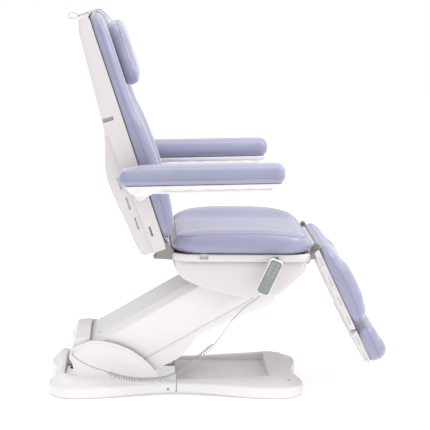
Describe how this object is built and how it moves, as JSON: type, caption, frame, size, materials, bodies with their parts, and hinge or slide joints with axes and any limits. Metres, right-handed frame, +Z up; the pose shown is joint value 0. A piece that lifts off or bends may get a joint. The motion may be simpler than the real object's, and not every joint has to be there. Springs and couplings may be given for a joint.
{
  "type": "electric examination chair",
  "caption": "Powered examination and treatment chair: lifting seat on a parallel-link arm, reclining back, leg and foot rests, padded armrests and a wired hand control.",
  "frame": {"origin": "on the floor, under the middle of the whole chair's box at rest", "axes": "+X towards the foot end, +Y to the left of a person sitting in it, +Z up"},
  "size_m": [1.2029, 0.824, 1.3624],
  "materials": {
    "upholstery": "satin",
    "strap": "matte",
    "white_plastic": "gloss",
    "shell_plastic": "satin",
    "frame_steel": "satin",
    "bright_steel": "satin",
    "motor_black": "matte",
    "foot_rubber": "matte",
    "plywood": "matte",
    "handset_white": "satin",
    "handset_panel": "satin",
    "key_film": "satin",
    "cord_cover": "satin"
  },
  "bodies": {
    "base": {"base_frame": "frame_steel", "base_cover_rear": "white_plastic", "base_cover_front": "white_plastic", "cheek_left": "white_plastic", "cheek_right": "white_plastic", "levelling_feet": "foot_rubber", "base_screws": "bright_steel", "cord_gland": "handset_white", "mains_inlet": "motor_black", "base_shafts": "bright_steel", "cord_coil": "cord_cover", "cord_leads": "cord_cover"},
    "lift_arm": {"arm_frame": "frame_steel", "arm_cover_upper": "white_plastic", "arm_cover_lower": "white_plastic", "arm_end_cap": "white_plastic", "arm_screws": "bright_steel", "arm_shafts": "bright_steel"},
    "tie_link": {"tie_bar": "frame_steel"},
    "lift_motor": {"lift_motor": "motor_black"},
    "lift_rod": {"lift_rod": "bright_steel"},
    "seat": {"seat_frame": "frame_steel", "seat_shell": "shell_plastic", "seat_board": "plywood", "seat_cushion": "upholstery", "hinge_brackets": "bright_steel", "handset_hook": "bright_steel", "handset_case": "handset_white", "handset_face": "handset_panel", "control_box": "motor_black"},
    "backrest": {"back_frame": "frame_steel", "back_shell": "shell_plastic", "back_cushion": "upholstery", "head_pillow": "upholstery", "pillow_strap": "strap", "strap_loop": "strap"},
    "armrest_link_left": {"armrest_link_left": "white_plastic"},
    "armrest_link_right": {"armrest_link_right": "white_plastic"},
    "armrest_left": {"armrest_plate_left": "white_plastic", "armrest_pad_left": "upholstery"},
    "armrest_right": {"armrest_plate_right": "white_plastic", "armrest_pad_right": "upholstery"},
    "legrest": {"leg_frame": "frame_steel", "leg_shell": "white_plastic", "leg_cushion": "upholstery"},
    "footrest": {"foot_frame": "frame_steel", "foot_shell": "white_plastic", "foot_cushion": "upholstery"},
    "back_motor": {"back_motor": "motor_black"},
    "back_rod": {"back_rod": "bright_steel"},
    "leg_motor": {"leg_motor": "motor_black"},
    "leg_rod": {"leg_rod": "bright_steel"},
    "key_1": {"key_1": "key_film"},
    "key_2": {"key_2": "key_film"},
    "key_3": {"key_3": "key_film"},
    "key_4": {"key_4": "key_film"},
    "key_5": {"key_5": "key_film"},
    "key_6": {"key_6": "key_film"},
    "key_7": {"key_7": "key_film"},
    "key_8": {"key_8": "key_film"}
  },
  "joints": [
    {"name": "lift", "type": "hinge", "parent": "base", "child": "lift_arm", "pos_m": [-0.39869, 0, 0.133], "axis": [0, -1, 0], "range_deg": [0, 33]},
    {"name": "seat_level", "type": "hinge", "parent": "lift_arm", "child": "seat", "pos_m": [0.12027, 0, 0.39799], "axis": [0, -1, 0], "range_deg": [-33.66, 0]},
    {"name": "tie_swing", "type": "hinge", "parent": "base", "child": "tie_link", "pos_m": [-0.37869, 0.066, 0.078], "axis": [0, -1, 0], "range_deg": [0, 33.66]},
    {"name": "lift_motor_swing", "type": "hinge", "parent": "base", "child": "lift_motor", "pos_m": [-0.26169, -0.01, 0.045], "axis": [0, -1, 0], "range_deg": [0, 31.3]},
    {"name": "lift_rod_slide", "type": "slide", "parent": "lift_motor", "child": "lift_rod", "axis": [0.6069, 0, 0.7948], "range_m": [0, 0.09302]},
    {"name": "recline", "type": "hinge", "parent": "seat", "child": "backrest", "pos_m": [-0.18669, 0, 0.56], "axis": [0, -1, 0], "range_deg": [0, 68]},
    {"name": "back_motor_swing", "type": "hinge", "parent": "seat", "child": "back_motor", "pos_m": [0.18831, 0.176, 0.425], "axis": [0, -1, 0], "range_deg": [-1.43, 0]},
    {"name": "back_rod_slide", "type": "slide", "parent": "back_motor", "child": "back_rod", "axis": [-0.9766, 0, 0.2151], "range_m": [-0.05987, 0]},
    {"name": "leg_lift", "type": "hinge", "parent": "seat", "child": "legrest", "pos_m": [0.34731, 0, 0.552], "axis": [0, -1, 0], "range_deg": [-12, 62]},
    {"name": "leg_motor_swing", "type": "hinge", "parent": "seat", "child": "leg_motor", "pos_m": [-0.03169, -0.176, 0.44], "axis": [0, -1, 0], "range_deg": [-2.21, 0.43]},
    {"name": "leg_rod_slide", "type": "slide", "parent": "leg_motor", "child": "leg_rod", "axis": [0.987, 0, 0.1608], "range_m": [-0.01309, 0.06763]},
    {"name": "foot_extend", "type": "slide", "parent": "legrest", "child": "footrest", "axis": [0.4384, 0, -0.8988], "range_m": [0, 0.15]},
    {"name": "armrest_level_left", "type": "hinge", "parent": "backrest", "child": "armrest_link_left", "pos_m": [-0.27669, 0.303, 0.745], "axis": [0, -1, 0], "range_deg": [-69.36, 0]},
    {"name": "armrest_flip_left", "type": "hinge", "parent": "armrest_link_left", "child": "armrest_left", "pos_m": [-0.27669, 0.32, 0.745], "axis": [0, -1, 0], "range_deg": [0, 100]},
    {"name": "armrest_level_right", "type": "hinge", "parent": "backrest", "child": "armrest_link_right", "pos_m": [-0.27669, -0.303, 0.745], "axis": [0, -1, 0], "range_deg": [-69.36, 0]},
    {"name": "armrest_flip_right", "type": "hinge", "parent": "armrest_link_right", "child": "armrest_right", "pos_m": [-0.27669, -0.32, 0.745], "axis": [0, -1, 0], "range_deg": [0, 100]},
    {"name": "key_press_1", "type": "slide", "parent": "seat", "child": "key_1", "axis": [0, 1, 0], "range_m": [0, 0.0008], "stiffness_N_per_m": 900},
    {"name": "key_press_2", "type": "slide", "parent": "seat", "child": "key_2", "axis": [0, 1, 0], "range_m": [0, 0.0008], "stiffness_N_per_m": 900},
    {"name": "key_press_3", "type": "slide", "parent": "seat", "child": "key_3", "axis": [0, 1, 0], "range_m": [0, 0.0008], "stiffness_N_per_m": 900},
    {"name": "key_press_4", "type": "slide", "parent": "seat", "child": "key_4", "axis": [0, 1, 0], "range_m": [0, 0.0008], "stiffness_N_per_m": 900},
    {"name": "key_press_5", "type": "slide", "parent": "seat", "child": "key_5", "axis": [0, 1, 0], "range_m": [0, 0.0008], "stiffness_N_per_m": 900},
    {"name": "key_press_6", "type": "slide", "parent": "seat", "child": "key_6", "axis": [0, 1, 0], "range_m": [0, 0.0008], "stiffness_N_per_m": 900},
    {"name": "key_press_7", "type": "slide", "parent": "seat", "child": "key_7", "axis": [0, 1, 0], "range_m": [0, 0.0008], "stiffness_N_per_m": 900},
    {"name": "key_press_8", "type": "slide", "parent": "seat", "child": "key_8", "axis": [0, 1, 0], "range_m": [0, 0.0008], "stiffness_N_per_m": 900}
  ],
  "couplings": [
    {"joint": "seat_level", "follows": "lift", "ratio": -1},
    {"joint": "tie_swing", "follows": "lift", "ratio": 1},
    {"joint": "lift_motor_swing", "follows": "lift", "ratio": 0.93},
    {"joint": "lift_rod_slide", "follows": "lift", "m_per_rad": 0.15835},
    {"joint": "back_motor_swing", "follows": "recline", "ratio": -0.020588},
    {"joint": "back_rod_slide", "follows": "recline", "m_per_rad": -0.04946},
    {"joint": "leg_motor_swing", "follows": "leg_lift", "ratio": -0.035},
    {"joint": "leg_rod_slide", "follows": "leg_lift", "m_per_rad": 0.06127},
    {"joint": "armrest_level_left", "follows": "recline", "ratio": -1},
    {"joint": "armrest_level_right", "follows": "recline", "ratio": -1}
  ]
}
